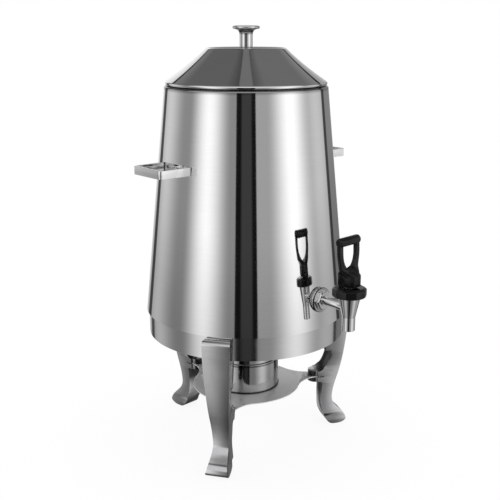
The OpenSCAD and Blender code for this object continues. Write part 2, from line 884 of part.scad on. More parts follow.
module lever() {
  front = cam_point(cam_end)[0] - 1.5;
  back = foot_back - 1.5;
  color("#202022")
  translate([0, tap_y, pin_z]) difference() {
    union() {
      across(foot_w) polygon(foot_side());
      difference() {
        union() {
          // the foot draws in and widens into the two legs of the eye
          hull() {
            foot_slab(-front, back);
            neck_slab(neck_w, neck_top);
          }
          on_eye() eye_plate(eye_side(neck_w, eye_plate_w, neck_top - 1, [0.5, 6, 12]), neck_t);
        }
        on_eye() eye_plate(eye_side(0.8, eye_w, eye_bottom, [4.5, 3.5, 8]), 2 * front);
      }
      on_eye() translate([0, 0, grip_up]) rotate([0, 90, 0]) rotate_extrude() polygon(concat(
        [[0, -grip_l / 2]],
        arc(grip_r - 2.5, 2.5 - grip_l / 2, 2.5, -90, 0, 4),
        arc(grip_r - 2.5, grip_l / 2 - 2.5, 2.5, 0, 90, 4),
        [[0, grip_l / 2]]
      ));
    }
    lever_slot();
    rotate([0, 90, 0]) cylinder(r = pin_r + fit, h = 2 * foot_w, center = true);
  }
}

module lever_pin() {
  color("gray")
  translate([0, tap_y, pin_z]) rotate([0, 90, 0]) cylinder(r = pin_r, h = foot_w, center = true);
}

// ---------- Lid ----------

// Outer skin of the lid, from the flat top down to its roll
function lid_skin() =
  let (
    fall = lid_top_slope,
    bend = [lid_flat_r + lid_shoulder_r * sin(fall), lid_top - lid_shoulder_r * (1 - cos(fall))],
    foot = [lid_r + lid_bead_r * sin(lid_rim_slope), lid_z + lid_bead_r * cos(lid_rim_slope)],
    t1 = tan(lid_top_slope),
    t2 = tan(lid_rim_slope),
    x = (bend[1] - foot[1] + t1 * bend[0] - t2 * foot[0]) / (t1 - t2),
    meet = [x, bend[1] - t1 * (x - bend[0])]
  )
  concat(
    arc(lid_flat_r, lid_top - lid_shoulder_r, lid_shoulder_r, 90, 90 - fall, 4),
    curve(bend, (bend + 2 * meet) / 3, (foot + 2 * meet) / 3, foot, 10)
  );

module lid_shell() {
  skin = lid_skin();
  color("silver")
  difference() {
    union() {
      rotate_extrude($fn = 192) polygon(concat(
        [[0, lid_top]],
        skin,
        reversed(beside(skin, sheet)),
        [[0, lid_top - sheet]]
      ));
      translate([0, 0, lid_z]) rotate_extrude($fn = 192) translate([lid_r, 0])
        circle(r = lid_bead_r, $fn = 48);
    }
    translate([0, 0, lid_top - sheet - over])
      cylinder(r = knob_screw_r + fit, h = sheet + 2 * over);
  }
}

module lid_ring() {
  color("silver")
  difference() {
    translate([0, 0, lid_z - lid_bead_r - lid_ring_h])
      cylinder(r = lid_ring_r, h = lid_ring_h + lid_bead_r, $fn = 192);
    translate([0, 0, lid_z - lid_bead_r - lid_ring_h - over])
      cylinder(r = lid_ring_r - lid_ring_t, h = lid_ring_h + lid_bead_r + 2 * over, $fn = 192);
    translate([0, 0, lid_z]) rotate_extrude($fn = 192) translate([lid_r, 0])
      circle(r = lid_bead_r, $fn = 48);
  }
}

module knob() {
  disc_z = knob_h - knob_disc_t;
  color("silver")
  translate([0, 0, lid_top]) difference() {
    rotate_extrude() polygon(concat(
      [[0, 0], [knob_stem_r - 0.6, 0], [knob_stem_r, 0.6], [knob_stem_r, knob_h * 0.5]],
      curve([knob_stem_r, knob_h * 0.5], [knob_stem_r, disc_z - 3.5],
            [knob_stem_r + 1.5, disc_z - 1], [knob_r - 2, disc_z - 0.4], 8),
      arc(knob_r - 2, disc_z + 1.6, 2, -90, 60, 6),
      curve([knob_r - 1, disc_z + 1.6 + 2 * sin(60)], [knob_r - 5, knob_h - 0.2],
            [knob_r / 3, knob_h], [0, knob_h], 5)
    ));
    translate([0, 0, -over]) cylinder(r = knob_screw_r + fit, h = knob_screw_bite + over + 1);
  }
}

module knob_screw() {
  color("gainsboro")
  translate([0, 0, lid_top - sheet - knob_washer_t])
    screw(knob_screw_r, sheet + knob_washer_t + knob_screw_bite, knob_screw_head_r, knob_screw_head_h);
}

module knob_washer() {
  color("silver")
  translate([0, 0, lid_top - sheet - knob_washer_t]) difference() {
    cylinder(r = knob_washer_r, h = knob_washer_t);
    translate([0, 0, -over]) cylinder(r = knob_screw_r + fit, h = knob_washer_t + 2 * over);
  }
}

stand_ring();
leg_front_left();
leg_front_right();
leg_rear();
leg_screws();
burner_shelf();
shelf_screws();
burner_cup();
burner_collar();
snuffer();
snuffer_rivet();
urn_shell();
urn_bottom();
handle_left();
handle_right();
tap_body();
tap_gasket();
tap_flange();
tap_hex_nut();
tap_inner_gasket();
tap_washer();
tap_lock_nut();
bonnet_nut();
stem();
valve_plug();
return_spring();
lever();
lever_pin();
lid_shell();
lid_ring();
knob();
knob_screw();
knob_washer();
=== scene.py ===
"""Coffee urn: its finishes, its turned, cast and moulded pieces, and the studio round it."""
import json
import math

import bmesh
import bpy
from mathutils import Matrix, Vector


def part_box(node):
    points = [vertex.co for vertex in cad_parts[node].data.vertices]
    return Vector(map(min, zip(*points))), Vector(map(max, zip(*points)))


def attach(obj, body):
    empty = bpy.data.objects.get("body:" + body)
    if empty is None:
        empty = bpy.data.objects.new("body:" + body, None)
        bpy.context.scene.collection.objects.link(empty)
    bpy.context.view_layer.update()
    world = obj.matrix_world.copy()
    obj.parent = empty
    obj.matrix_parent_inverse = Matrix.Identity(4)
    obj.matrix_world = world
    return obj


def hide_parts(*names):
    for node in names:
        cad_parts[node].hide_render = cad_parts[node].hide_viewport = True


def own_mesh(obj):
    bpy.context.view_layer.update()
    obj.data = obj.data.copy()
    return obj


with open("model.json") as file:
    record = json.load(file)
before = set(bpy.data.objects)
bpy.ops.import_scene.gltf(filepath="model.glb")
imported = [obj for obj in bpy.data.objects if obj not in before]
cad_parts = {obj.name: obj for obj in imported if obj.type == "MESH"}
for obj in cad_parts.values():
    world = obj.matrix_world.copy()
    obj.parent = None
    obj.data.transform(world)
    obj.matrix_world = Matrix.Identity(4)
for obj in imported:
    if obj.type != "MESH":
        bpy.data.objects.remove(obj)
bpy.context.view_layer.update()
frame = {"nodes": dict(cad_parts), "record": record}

MM = 0.001

# ---------- Sizes in millimetres, in step with the part's source ----------

TAP_Y = -174.978
# The urn's wall: its radius at the foot, and how that changes with height
WALL_R0 = 133.0
WALL_SLOPE = -0.09924
# How far the middle of the handles stands over the wall's foot
HANDLE_UP = 196.2
SHEET = 1.0
# The hole for the knob's screw, in the lid and in the knob
SCREW_HOLE_R = 2.55
# The lid: its edge is a bead of LID_BEAD round a circle of LID_R at LID_Z. Its flat top is at
# LID_TOP, reaches out to LID_FLAT_R and bends down over LID_SHOULDER. Slopes are in degrees.
LID_R = 99.9
LID_Z = 480.809
LID_BEAD = 2.8
LID_TOP = 524.409
LID_FLAT_R = 46.0
LID_SHOULDER = 8.0
LID_TOP_SLOPE = 43.5
LID_EDGE_SLOPE = 33.8
# The knob: a disc on a stem, with rounded edges at its foot and round the disc
KNOB_R = 17.2
KNOB_STEM_R = 8.2
KNOB_H = 27.1
KNOB_DISC_H = 4.2
KNOB_FOOT_EDGE = 0.6
KNOB_DISC_EDGE = 2.0
KNOB_HOLE_H = 11.0
# The return spring: heights of its lowest and highest wire, the coil's radius, its turns and the
# wire's radius
SPRING_LOW = 231.3
SPRING_HIGH = 244.2
SPRING_R = 6.0
SPRING_TURNS = 4.5
WIRE_R = 0.6

# ---------- Places of seams and marks, in metres ----------

# Heights of the lines of painted shade: in the gap under the lid's edge, at the burner's foot and
# under its collar, and under the knob's disc and at its foot
RIM_GAP_SHADE = 0.4782
BURNER_FOOT_SHADE = 0.0745
UNDER_COLLAR_SHADE = 0.1125
UNDER_DISC_SHADE = 0.5438
KNOB_FOOT_SHADE = 0.5244
# The tap's flange: the height of its middle, and its radius
FLANGE_LOW, FLANGE_HIGH = (corner[2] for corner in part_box("tap_flange"))
ARM_Z = (FLANGE_LOW + FLANGE_HIGH) / 2
FLANGE_R = (FLANGE_HIGH - FLANGE_LOW) / 2
# The crease over the legs' toes, the legs' top, and the stand ring's radius
TOE_CREASE = 0.018
LEG_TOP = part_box("leg_rear")[1][2]
RING_R = 0.1315
# The urn's radius where the handles are welded on, and how far they are turned about it, in degrees
WELD_R = (WALL_R0 + WALL_SLOPE * HANDLE_UP) * MM
HANDLE_TURN = 5.0


# ---------- Nodes ----------

def new_group(name, kind, inputs, outputs):
    """An empty node group with named sockets, and its input and output nodes."""
    group = bpy.data.node_groups.new(name, kind)
    for side, sockets in (("INPUT", inputs), ("OUTPUT", outputs)):
        for label, socket, *value in sockets:
            item = group.interface.new_socket(label, in_out=side, socket_type="NodeSocket" + socket)
            if value:
                item.default_value = value[0]
    return group, group.nodes.new("NodeGroupInput"), group.nodes.new("NodeGroupOutput")


def give(tree, socket, value):
    """Sets a socket to value, or links it where value is another node's output."""
    if isinstance(value, bpy.types.NodeSocket):
        tree.links.new(value, socket)
    else:
        socket.default_value = value


def add(tree, kind, settings=None, **inputs):
    """A node with its settings, and its inputs by name (spaces as _) or by number (as n0, n1)."""
    node = tree.nodes.new(kind)
    for key, value in (settings or {}).items():
        setattr(node, key, value)
    for key, value in inputs.items():
        by_number = key[1:].isdigit()
        give(tree, node.inputs[int(key[1:]) if by_number else key.replace("_", " ")], value)
    return node


def reckon(tree, operation, *values, clamp=False):
    """The result of one step of arithmetic."""
    node = add(tree, "ShaderNodeMath", {"operation": operation, "use_clamp": clamp})
    for socket, value in zip(node.inputs, values):
        give(tree, socket, value)
    return node.outputs[0]


def reckon_vector(tree, operation, *vectors):
    """The same for vectors: a number for a length or a dot product, and otherwise a vector."""
    node = add(tree, "ShaderNodeVectorMath", {"operation": operation})
    for socket, vector in zip(node.inputs, vectors):
        give(tree, socket, vector)
    return node.outputs["Value" if operation in ("LENGTH", "DOT_PRODUCT") else "Vector"]


def spread(tree, value, low, high, to_low, to_high, smooth=False):
    """value, taken from low..high to to_low..to_high. These four numbers make a ramp."""
    kind = "SMOOTHSTEP" if smooth else "LINEAR"
    node = add(tree, "ShaderNodeMapRange", {"interpolation_type": kind})
    for socket, number in zip(node.inputs, (value, low, high, to_low, to_high)):
        give(tree, socket, number)
    return node.outputs[0]


def height_of(tree, where):
    """How high a place is, or the upward part of a direction."""
    return add(tree, "ShaderNodeSeparateXYZ", None, n0=where).outputs[2]


def flat_part(tree, vector):
    """A vector without its height."""
    return reckon_vector(tree, "MULTIPLY", vector, (1.0, 1.0, 0.0))


def arm_distance(tree, where):
    """How far a place is from the axis of the tap's arm."""
    off = reckon_vector(tree, "MULTIPLY_ADD", where, (1.0, 0.0, 1.0), (0.0, 0.0, -ARM_Z))
    return reckon_vector(tree, "LENGTH", off)


def blend_colors(tree, share, a, b):
    """Colour a where share is 0, and colour b where it is 1."""
    node = add(tree, "ShaderNodeMix", {"data_type": "RGBA"}, n0=share)
    for socket, color in ((node.inputs[6], a), (node.inputs[7], b)):
        give(tree, socket, color if isinstance(color, bpy.types.NodeSocket) else (*color, 1.0))
    return node.outputs[2]


def empty_material(name):
    """A material with nothing in it yet, and its node tree."""
    mat = bpy.data.materials.new(name)
    mat.use_nodes = True
    mat.node_tree.nodes.clear()
    return mat, mat.node_tree


# ---------- Groups for the finishes ----------

def grain_group():
    """Fine grain stretched along one way, and cloudy patches over it."""
    group, inp, out = new_group(
        "Grain", "ShaderNodeTree",
        (("Vector", "Vector"), ("Stretch", "Vector", (1.0, 1.0, 1.0)), ("Fineness", "Float", 900.0),
         ("Patch size", "Float", 14.0)),
        (("Grain", "Float"), ("Patches", "Float")))
    stretched = reckon_vector(group, "MULTIPLY", inp.outputs["Vector"], inp.outputs["Stretch"])
    fine = add(group, "ShaderNodeTexNoise", None, Vector=stretched,
               Scale=inp.outputs["Fineness"], Detail=4.0, Roughness=0.65)
    wide = add(group, "ShaderNodeTexNoise", None, Vector=inp.outputs["Vector"],
               Scale=inp.outputs["Patch size"], Detail=3.0, Roughness=0.5, Distortion=0.4)
    group.links.new(fine.outputs[0], out.inputs["Grain"])
    group.links.new(wide.outputs[0], out.inputs["Patches"])
    return group


# Ramps of the edges with a painted highlight, by how far the rounded normal leaves the face's,
# and of their breaks
HIGHLIT_EDGE = (0.995, 0.86, 0.0, 1.0)
HIGHLIT_BREAKS = (0.35, 0.6, 0.35, 1.0)


def edge_highlight_group():
    """1 along outward edges, broken up by noise, and 0 on faces: the painted edge highlight."""
    group, inp, out = new_group(
        "Painted edge highlight", "ShaderNodeTree",
        (("Vector", "Vector"), ("Width", "Float", 0.001), ("Breakup", "Float", 160.0)),
        (("Edges", "Float"),))
    rounded = add(group, "ShaderNodeBevel", {"samples": 8}, Radius=inp.outputs["Width"])
    plain = add(group, "ShaderNodeNewGeometry")
    agree = reckon_vector(group, "DOT_PRODUCT", rounded.outputs[0], plain.outputs["Normal"])
    noise = add(group, "ShaderNodeTexNoise", None, Vector=inp.outputs["Vector"],
                Scale=inp.outputs["Breakup"], Detail=3.0)
    edge = spread(group, agree, *HIGHLIT_EDGE)
    broken = spread(group, noise.outputs[0], *HIGHLIT_BREAKS)
    group.links.new(reckon(group, "MULTIPLY", edge, broken, clamp=True), out.inputs["Edges"])
    return group


def line_group():
    """1 where Place is at Level and 0 farther off than Above and Below: a line of painted shade."""
    group, inp, out = new_group(
        "Painted seam shade", "ShaderNodeTree",
        (("Place", "Float"), ("Level", "Float", 0.0), ("Above", "Float", 0.001),
         ("Below", "Float", 0.001)),
        (("Dirt", "Float"),))
    over = reckon(group, "SUBTRACT", inp.outputs["Place"], inp.outputs["Level"])
    under = reckon(group, "MULTIPLY", over, -1.0)
    upper = spread(group, over, 0.0, inp.outputs["Above"], 1.0, 0.0)
    lower = spread(group, under, 0.0, inp.outputs["Below"], 1.0, 0.0)
    group.links.new(reckon(group, "MULTIPLY", upper, lower), out.inputs["Dirt"])
    return group


# Ramps for the painted shade on the legs: the faces that look inwards and those that look
# outwards, by how far they face away from the urn's axis, and what is above the feet, by height in
# metres
INNER_FACES = (-0.4, 0.0, 1.0, 0.0)
FRONT_FACES = (0.5, 0.75, 0.0, 1.0)
ABOVE_FEET = (0.035, 0.05, 0.0, 1.0)


def inner_shade_group():
    """The first output is 1 on the faces that look in at the burner, where shade is painted, and 0
    on the others. Front is 1 on the faces that look outwards, and Radius is the distance from
    the urn's axis."""
    group, inp, out = new_group(
        "Painted inner shade", "ShaderNodeTree", (("Vector", "Vector"), ("Normal", "Vector")),
        (("Stain", "Float"), ("Front", "Float"), ("Radius", "Float")))
    flat = flat_part(group, inp.outputs["Vector"])
    outward = reckon_vector(group, "NORMALIZE", flat)
    facing = reckon_vector(group, "DOT_PRODUCT", outward, inp.outputs["Normal"])
    inner = spread(group, facing, *INNER_FACES)
    above = spread(group, height_of(group, inp.outputs["Vector"]), *ABOVE_FEET)
    group.links.new(reckon(group, "MULTIPLY", inner, above), out.inputs["Stain"])
    group.links.new(spread(group, facing, *FRONT_FACES), out.inputs["Front"])
    group.links.new(reckon_vector(group, "LENGTH", flat), out.inputs["Radius"])
    return group


GRAIN = grain_group()
EDGE_HIGHLIGHT = edge_highlight_group()
LINE = line_group()
INNER_SHADE = inner_shade_group()

# ---------- Finishes ----------

# How a finish's change is mixed from its grain and its patches, and what is added to that
GRAIN_SHARE = 0.55
PATCH_SHARE = 0.45
MIX_SHIFT = -0.05
# The mix over which the colour goes from base to tint, and over which the roughness swings
COLOR_MIX = (0.3, 0.7)
ROUGH_MIX = (0.25, 0.75)
# How far a relief of 1 stands out, in metres
RELIEF_DEPTH = 0.0001
# How much smoother the edges with a painted highlight are than the rest
EDGE_POLISH = 0.4


def grey(value):
    return (value, value, value)


def node_of(mat, kind):
    """A material's only node of this kind."""
    return next(node for node in mat.node_tree.nodes if node.bl_idname == kind)


def paint_over(mat, share, color):
    """Lays color over a finish where share is 1."""
    tree = mat.node_tree
    socket = node_of(mat, "ShaderNodeBsdfPrincipled").inputs["Base Color"]
    under = socket.links[0].from_socket
    tree.links.new(blend_colors(tree, share, under, color), socket)


def line_at(tree, place_at, level, above, below):
    """1 where place_at is at level, and 0 farther off than above and below."""
    return add(tree, "ShaderNodeGroup", {"node_tree": LINE}, Place=place_at, Level=level,
               Above=above, Below=below).outputs["Dirt"]


def finish(name, base, tint, roughness, metallic=1.0, stretch=(1.0, 1.0, 1.0), fineness=900.0,
           patch=14.0, rough_swing=0.05, bump=0.02, highlight_width=None, highlight_tint=None, ior=1.5, seams=(),
           rings=()):
    """A material of one finish. base and tint are the colours between which grain and patches
    move it. Where it has an edge width, its edges get a painted highlight that wide, in metres,
    in the highlight's colour. seams are its lines of painted shade: height, reach above and
    below in metres, and colour. rings are the same round the tap's arm, by radius."""
    mat, tree = empty_material(name)
    shader = add(tree, "ShaderNodeBsdfPrincipled", None, Metallic=metallic, IOR=ior)
    add(tree, "ShaderNodeOutputMaterial", None, Surface=shader.outputs[0])
    where = add(tree, "ShaderNodeTexCoord").outputs["Object"]
    grain = add(tree, "ShaderNodeGroup", {"node_tree": GRAIN}, Vector=where, Stretch=stretch,
                Fineness=fineness, Patch_size=patch)
    mixed = reckon(tree, "MULTIPLY_ADD", grain.outputs["Grain"], GRAIN_SHARE, MIX_SHIFT)
    mixed = reckon(tree, "MULTIPLY_ADD", grain.outputs["Patches"], PATCH_SHARE, mixed, clamp=True)
    color = blend_colors(tree, spread(tree, mixed, *COLOR_MIX, 0.0, 1.0), base, tint)
    rough = spread(tree, mixed, *ROUGH_MIX, roughness - rough_swing, roughness + rough_swing)
    # Edges get a painted highlight: a lighter colour, and a smoother surface
    if highlight_width:
        edges = add(tree, "ShaderNodeGroup", {"node_tree": EDGE_HIGHLIGHT}, Vector=where,
                    Width=highlight_width).outputs["Edges"]
        color = blend_colors(tree, edges, color, highlight_tint)
        rough = reckon(tree, "MULTIPLY_ADD", edges, -EDGE_POLISH * roughness, rough, clamp=True)
    relief = add(tree, "ShaderNodeBump", None, Strength=bump, Distance=RELIEF_DEPTH, Height=mixed)
    tree.links.new(color, shader.inputs["Base Color"])
    tree.links.new(rough, shader.inputs["Roughness"])
    tree.links.new(relief.outputs[0], shader.inputs["Normal"])
    # Lines of painted shade at seams, and rings of it round the tap's arm
    for lines, place_of in ((seams, height_of), (rings, arm_distance)):
        for level, above, below, dark in lines:
            paint_over(mat, line_at(tree, place_of(tree, where), level, above, below), dark)
    return mat


# The polished sheet has a line of painted shade in the gap under the lid's edge
POLISHED = finish("polished sheet", (0.80, 0.80, 0.805), (0.86, 0.86, 0.865), 0.06,
                  stretch=(0.12, 0.12, 4.0), fineness=260.0, rough_swing=0.03, bump=0.006,
                  seams=((RIM_GAP_SHADE, 0.0012, 0.006, grey(0.04)),))
RING = finish("polished ring", (0.76, 0.76, 0.765), (0.84, 0.84, 0.845), 0.13,
              stretch=(0.12, 0.12, 4.0), fineness=260.0, rough_swing=0.03, bump=0.012)
# The casting's edges get a painted highlight, a paler grey
CASTING = finish("satin casting", (0.58, 0.58, 0.59), (0.70, 0.70, 0.71), 0.21, fineness=1400.0,
                 patch=40.0, bump=0.1, highlight_width=0.0012, highlight_tint=grey(0.86))
SATIN = finish("satin sheet", grey(0.88), grey(0.95), 0.4, metallic=0.5, stretch=(1.0, 12.0, 1.0),
               fineness=420.0, rough_swing=0.06, bump=0.05)
PLAIN = finish("plain steel", (0.62, 0.62, 0.63), (0.74, 0.74, 0.75), 0.32, fineness=700.0,
               patch=60.0, rough_swing=0.08, bump=0.05)
# The burner has lines of painted shade at its foot and under its collar
BURNER = finish("burner sheet", grey(0.46), (0.58, 0.58, 0.575), 0.12, stretch=(0.3, 0.3, 6.0),
                fineness=380.0, patch=30.0, bump=0.03,
                seams=((BURNER_FOOT_SHADE, 0.0025, 0.002, grey(0.02)),
                       (UNDER_COLLAR_SHADE, 0.001, 0.0022, grey(0.02))))
HANDLE = finish("handle bar", (0.82, 0.82, 0.825), (0.90, 0.90, 0.905), 0.10,
                stretch=(1.0, 1.0, 8.0), fineness=600.0, patch=40.0, bump=0.03)
CHROME = finish("chrome plate", (0.78, 0.78, 0.785), (0.86, 0.86, 0.865), 0.06, fineness=500.0,
                patch=60.0, rough_swing=0.03, bump=0.015)
# The knob has lines of painted shade under its disc and at its foot
KNOB = finish("turned knob", (0.72, 0.72, 0.725), (0.82, 0.82, 0.825), 0.08,
              stretch=(0.5, 0.5, 10.0), fineness=500.0, patch=50.0, rough_swing=0.03,
              seams=((UNDER_DISC_SHADE, 0.003, 0.004, grey(0.05)),
                     (KNOB_FOOT_SHADE, 0.0012, 0.001, grey(0.10))))
# The flange's rings are painted shade: round its rim, at a turned line, and where the nut sits on
# it
FLANGE = finish("flange", (0.70, 0.70, 0.705), (0.80, 0.80, 0.805), 0.08, fineness=500.0,
                patch=60.0, rough_swing=0.03, bump=0.015,
                rings=((FLANGE_R, 0.001, 0.0016, grey(0.03)),
                       (0.82 * FLANGE_R, 0.0006, 0.0006, grey(0.12)),
                       (0.66 * FLANGE_R, 0.0008, 0.0008, grey(0.05))))
# The moulding's edges get a painted highlight, a lighter grey
BLACK = finish("black moulding", (0.004, 0.004, 0.0045), (0.008, 0.008, 0.0085), 0.17,
               metallic=0.0, fineness=1500.0, patch=60.0, bump=0.06, highlight_width=0.0009,
               highlight_tint=(0.05, 0.05, 0.052), ior=1.38)
PIN = finish("blackened pin", grey(0.05), grey(0.09), 0.35, fineness=900.0, patch=60.0,
             rough_swing=0.08, bump=0.05)
RUBBER = finish("black rubber", grey(0.02), grey(0.04), 0.75, metallic=0.0, fineness=1100.0,
                patch=50.0, rough_swing=0.1, bump=0.3)
SILICONE = finish("milky silicone", (0.76, 0.76, 0.73), (0.84, 0.84, 0.82), 0.5, metallic=0.0,
                  fineness=700.0, patch=80.0, rough_swing=0.1, bump=0.1, ior=1.41)

# The grey of the painted shade on the legs
PAINTED_SHADE = grey(0.06)
# In metres: reach of the painted shade in the crease over a toe, reach of the painted shade where
# the leg's top meets the stand ring, outside and inside it, and how far down from the top it goes
CREASE_REACH = 0.0014
GAP_SHADE_OUTSIDE, GAP_SHADE_INSIDE = 0.0014, 0.004
GAP_SHADE_DEPTH = 0.001


def paint_leg_shade(mat):
    """Painted shade on the legs: on their inner faces, in the crease over each toe, and where
    their top meets the stand ring.
    """
    tree = mat.node_tree
    coordinates = node_of(mat, "ShaderNodeTexCoord")
    leg_shade = add(tree, "ShaderNodeGroup", {"node_tree": INNER_SHADE}, Vector=coordinates.outputs["Object"],
                Normal=coordinates.outputs["Normal"])
    height = height_of(tree, coordinates.outputs["Object"])
    crease = line_at(tree, height, TOE_CREASE, CREASE_REACH, CREASE_REACH)
    gap_shade = line_at(tree, leg_shade.outputs["Radius"], RING_R, GAP_SHADE_OUTSIDE, GAP_SHADE_INSIDE)
    top = spread(tree, height, LEG_TOP - GAP_SHADE_DEPTH, LEG_TOP, 0.0, 1.0)
    # Painted shade on the inner faces, in the toe's crease and where the top meets the ring
    paint_over(mat, leg_shade.outputs["Stain"], PAINTED_SHADE)
    paint_over(mat, reckon(tree, "MULTIPLY", crease, leg_shade.outputs["Front"]), PAINTED_SHADE)
    paint_over(mat, reckon(tree, "MULTIPLY", gap_shade, top), PAINTED_SHADE)


# Ramp of the metallic share over the handles, by the place across the arms times the way it faces
ARM_METALLIC = (0.02, 0.027, 1.0, 0.3)
# Reach of the painted shade outside and inside the welded joint, in metres
WELD_SHADE_OUTSIDE, WELD_SHADE_INSIDE = 0.0018, 0.004


def brush_arms(mat):
    """A pale satin on the outer faces of the handles' arms, and painted shade at their welds."""
    tree = mat.node_tree
    coordinates = node_of(mat, "ShaderNodeTexCoord")
    turn = math.radians(HANDLE_TURN)
    across = (math.sin(turn), math.cos(turn), 0.0)
    place_at, facing = (reckon_vector(tree, "DOT_PRODUCT", coordinates.outputs[name], across)
                        for name in ("Object", "Normal"))
    metallic = spread(tree, reckon(tree, "MULTIPLY", place_at, facing), *ARM_METALLIC)
    tree.links.new(metallic, node_of(mat, "ShaderNodeBsdfPrincipled").inputs["Metallic"])
    radius = reckon_vector(tree, "LENGTH", flat_part(tree, coordinates.outputs["Object"]))
    # Painted shade where the arms meet the wall
    weld_shade = line_at(tree, radius, WELD_R, WELD_SHADE_OUTSIDE, WELD_SHADE_INSIDE)
    paint_over(mat, weld_shade, grey(0.03))


paint_leg_shade(CASTING)
brush_arms(HANDLE)

FINISH_OF = {
    "polished_steel": POLISHED, "satin_casting": CASTING, "satin_steel": SATIN,
    "plain_steel": PLAIN, "burner_steel": BURNER, "handle_steel": HANDLE, "tap_chrome": CHROME,
    "knob_steel": KNOB, "black_plastic": BLACK, "rubber_seal": RUBBER, "silicone": SILICONE,
}
# Nodes whose finish differs from the rest of their slot
OWN_FINISH = {"stand_ring": RING, "lever_pin": PIN, "tap_flange": FLANGE, "tap_gasket": SILICONE}
RECORD = frame["record"]
SLOT_OF = {item["node"]: item["material_slot"] for item in RECORD["subparts"]}
BODY_OF = {node: body for body, nodes in RECORD["behaviour"]["bodies"].items() for node in nodes}


def finish_of(node):
    """The finish that a CAD node has, on its own or by its slot."""
    return OWN_FINISH.get(node, FINISH_OF[SLOT_OF[node]])


for node, obj in frame["nodes"].items():
    for slot in obj.material_slots:
        slot.material = finish_of(node)


# ---------- Making pieces ----------

# Points nearer than this are one, in metres
SAME_POINT = 0.002 * MM
# In degrees: faces under FLAT apart are one flat face, edges over SHARP are rounded, and shading is
# smooth across edges under SMOOTH on turned pieces and under SMOOTH_CAST on rounded ones
FLAT = 0.4
SHARP = 24.0
SMOOTH = 30.0
SMOOTH_CAST = 32.0


def settle(obj, smooth_under=SMOOTH):
    """Leaves the object's finished shape as a plain mesh, smooth but for its sharper edges."""
    bpy.context.view_layer.update()
    graph = bpy.context.evaluated_depsgraph_get()
    mesh = bpy.data.meshes.new_from_object(obj.evaluated_get(graph))
    obj.modifiers.clear()
    obj.data = mesh
    mesh.polygons.foreach_set("use_smooth", [True] * len(mesh.polygons))
    mesh.set_sharp_from_angle(angle=math.radians(smooth_under))
    return obj


def place(name, mesh):
    """A new object at the origin, with its place in its mesh."""
    obj = bpy.data.objects.new(name, mesh)
    bpy.context.scene.collection.objects.link(obj)
    return obj


def hand_over(obj, node):
    """obj takes the place of a CAD node: its body and its space."""
    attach(obj, BODY_OF[node])
    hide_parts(node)


def soften(node, width, segments=2, shape=None):
    """A copy of a CAD node with its edges rounded to width, in millimetres. shape, where it is
    given, changes the copy first."""
    form = bmesh.new()
    form.from_mesh(frame["nodes"][node].data)
    bmesh.ops.remove_doubles(form, verts=form.verts, dist=SAME_POINT)
    bmesh.ops.dissolve_limit(form, angle_limit=math.radians(FLAT), verts=form.verts,
                             edges=form.edges)
    if shape:
        shape(form)
    form.verts.index_update()
    mesh = bpy.data.meshes.new(node + "_form")
    faces = [[vert.index for vert in face.verts] for face in form.faces]
    mesh.from_pydata([vert.co[:] for vert in form.verts], [], faces)
    form.free()
    mesh.materials.append(finish_of(node))
    obj = place(node + "_finished", mesh)
    bevel = obj.modifiers.new("rounded edges", "BEVEL")
    bevel.width = width * MM
    bevel.segments = segments
    bevel.limit_method = "ANGLE"
    bevel.angle_limit = math.radians(SHARP)
    weights = obj.modifiers.new("flat faces", "WEIGHTED_NORMAL")
    weights.keep_sharp = True
    hand_over(settle(obj, SMOOTH_CAST), node)


def give_inputs(modifier, values):
    """Sets a Geometry Nodes modifier's inputs by their names."""
    for item in modifier.node_group.interface.items_tree:
        if item.item_type == "SOCKET" and item.in_out == "INPUT" and item.name in values:
            modifier[item.identifier] = values[item.name]


def end_tree(tree, geometry, material, out):
    """Ends a tree in real geometry with its material on it."""
    real = add(tree, "GeometryNodeRealizeInstances", None, Geometry=geometry)
    done = add(tree, "GeometryNodeSetMaterial", None, Geometry=real.outputs[0], Material=material)
    tree.links.new(done.outputs[0], out.inputs[0])


def turning_tree():
    """Turns a profile, drawn as a line of points in the XZ plane, about the Z axis."""
    tree, inp, out = new_group(
        "Turned piece", "GeometryNodeTree",
        (("Geometry", "Geometry"), ("Sides", "Int", 128), ("Material", "Material")),
        (("Geometry", "Geometry"),))
    profile = inp.outputs["Geometry"]
    position = add(tree, "GeometryNodeInputPosition").outputs[0]
    # A flat sheet has a row for each point of the profile, and a column more than sides
    count = add(tree, "GeometryNodeAttributeDomainSize", {"component": "MESH"},
                Geometry=profile).outputs["Point Count"]
    columns = reckon(tree, "ADD", inp.outputs["Sides"], 1.0)
    sheet = add(tree, "GeometryNodeMeshGrid", None, Size_X=1.0, Size_Y=1.0,
                Vertices_X=columns, Vertices_Y=count)
    here = add(tree, "ShaderNodeSeparateXYZ", None, n0=position)
    # Its columns go round the axis, and its rows to the profile's points
    angle = reckon(tree, "MULTIPLY", reckon(tree, "ADD", here.outputs[0], 0.5), 2 * math.pi)
    last = reckon(tree, "SUBTRACT", count, 1.0)
    row = reckon(tree, "MULTIPLY", reckon(tree, "ADD", here.outputs[1], 0.5), last)
    point = add(tree, "GeometryNodeSampleIndex", {"data_type": "FLOAT_VECTOR", "domain": "POINT"},
                Geometry=profile, Value=position, Index=reckon(tree, "ROUND", row))
    drawn = add(tree, "ShaderNodeSeparateXYZ", None, n0=point.outputs[0])
    turned = add(tree, "ShaderNodeCombineXYZ", None,
                 n0=reckon(tree, "MULTIPLY", drawn.outputs[0], reckon(tree, "COSINE", angle)),
                 n1=reckon(tree, "MULTIPLY", drawn.outputs[0], reckon(tree, "SINE", angle)),
                 n2=drawn.outputs[2])
    moved = add(tree, "GeometryNodeSetPosition", None, Geometry=sheet.outputs["Mesh"],
                Position=turned.outputs[0])
    closed = add(tree, "GeometryNodeMergeByDistance", None, Geometry=moved.outputs[0],
                 Distance=SAME_POINT)
    end_tree(tree, closed.outputs[0], inp.outputs["Material"], out)
    return tree


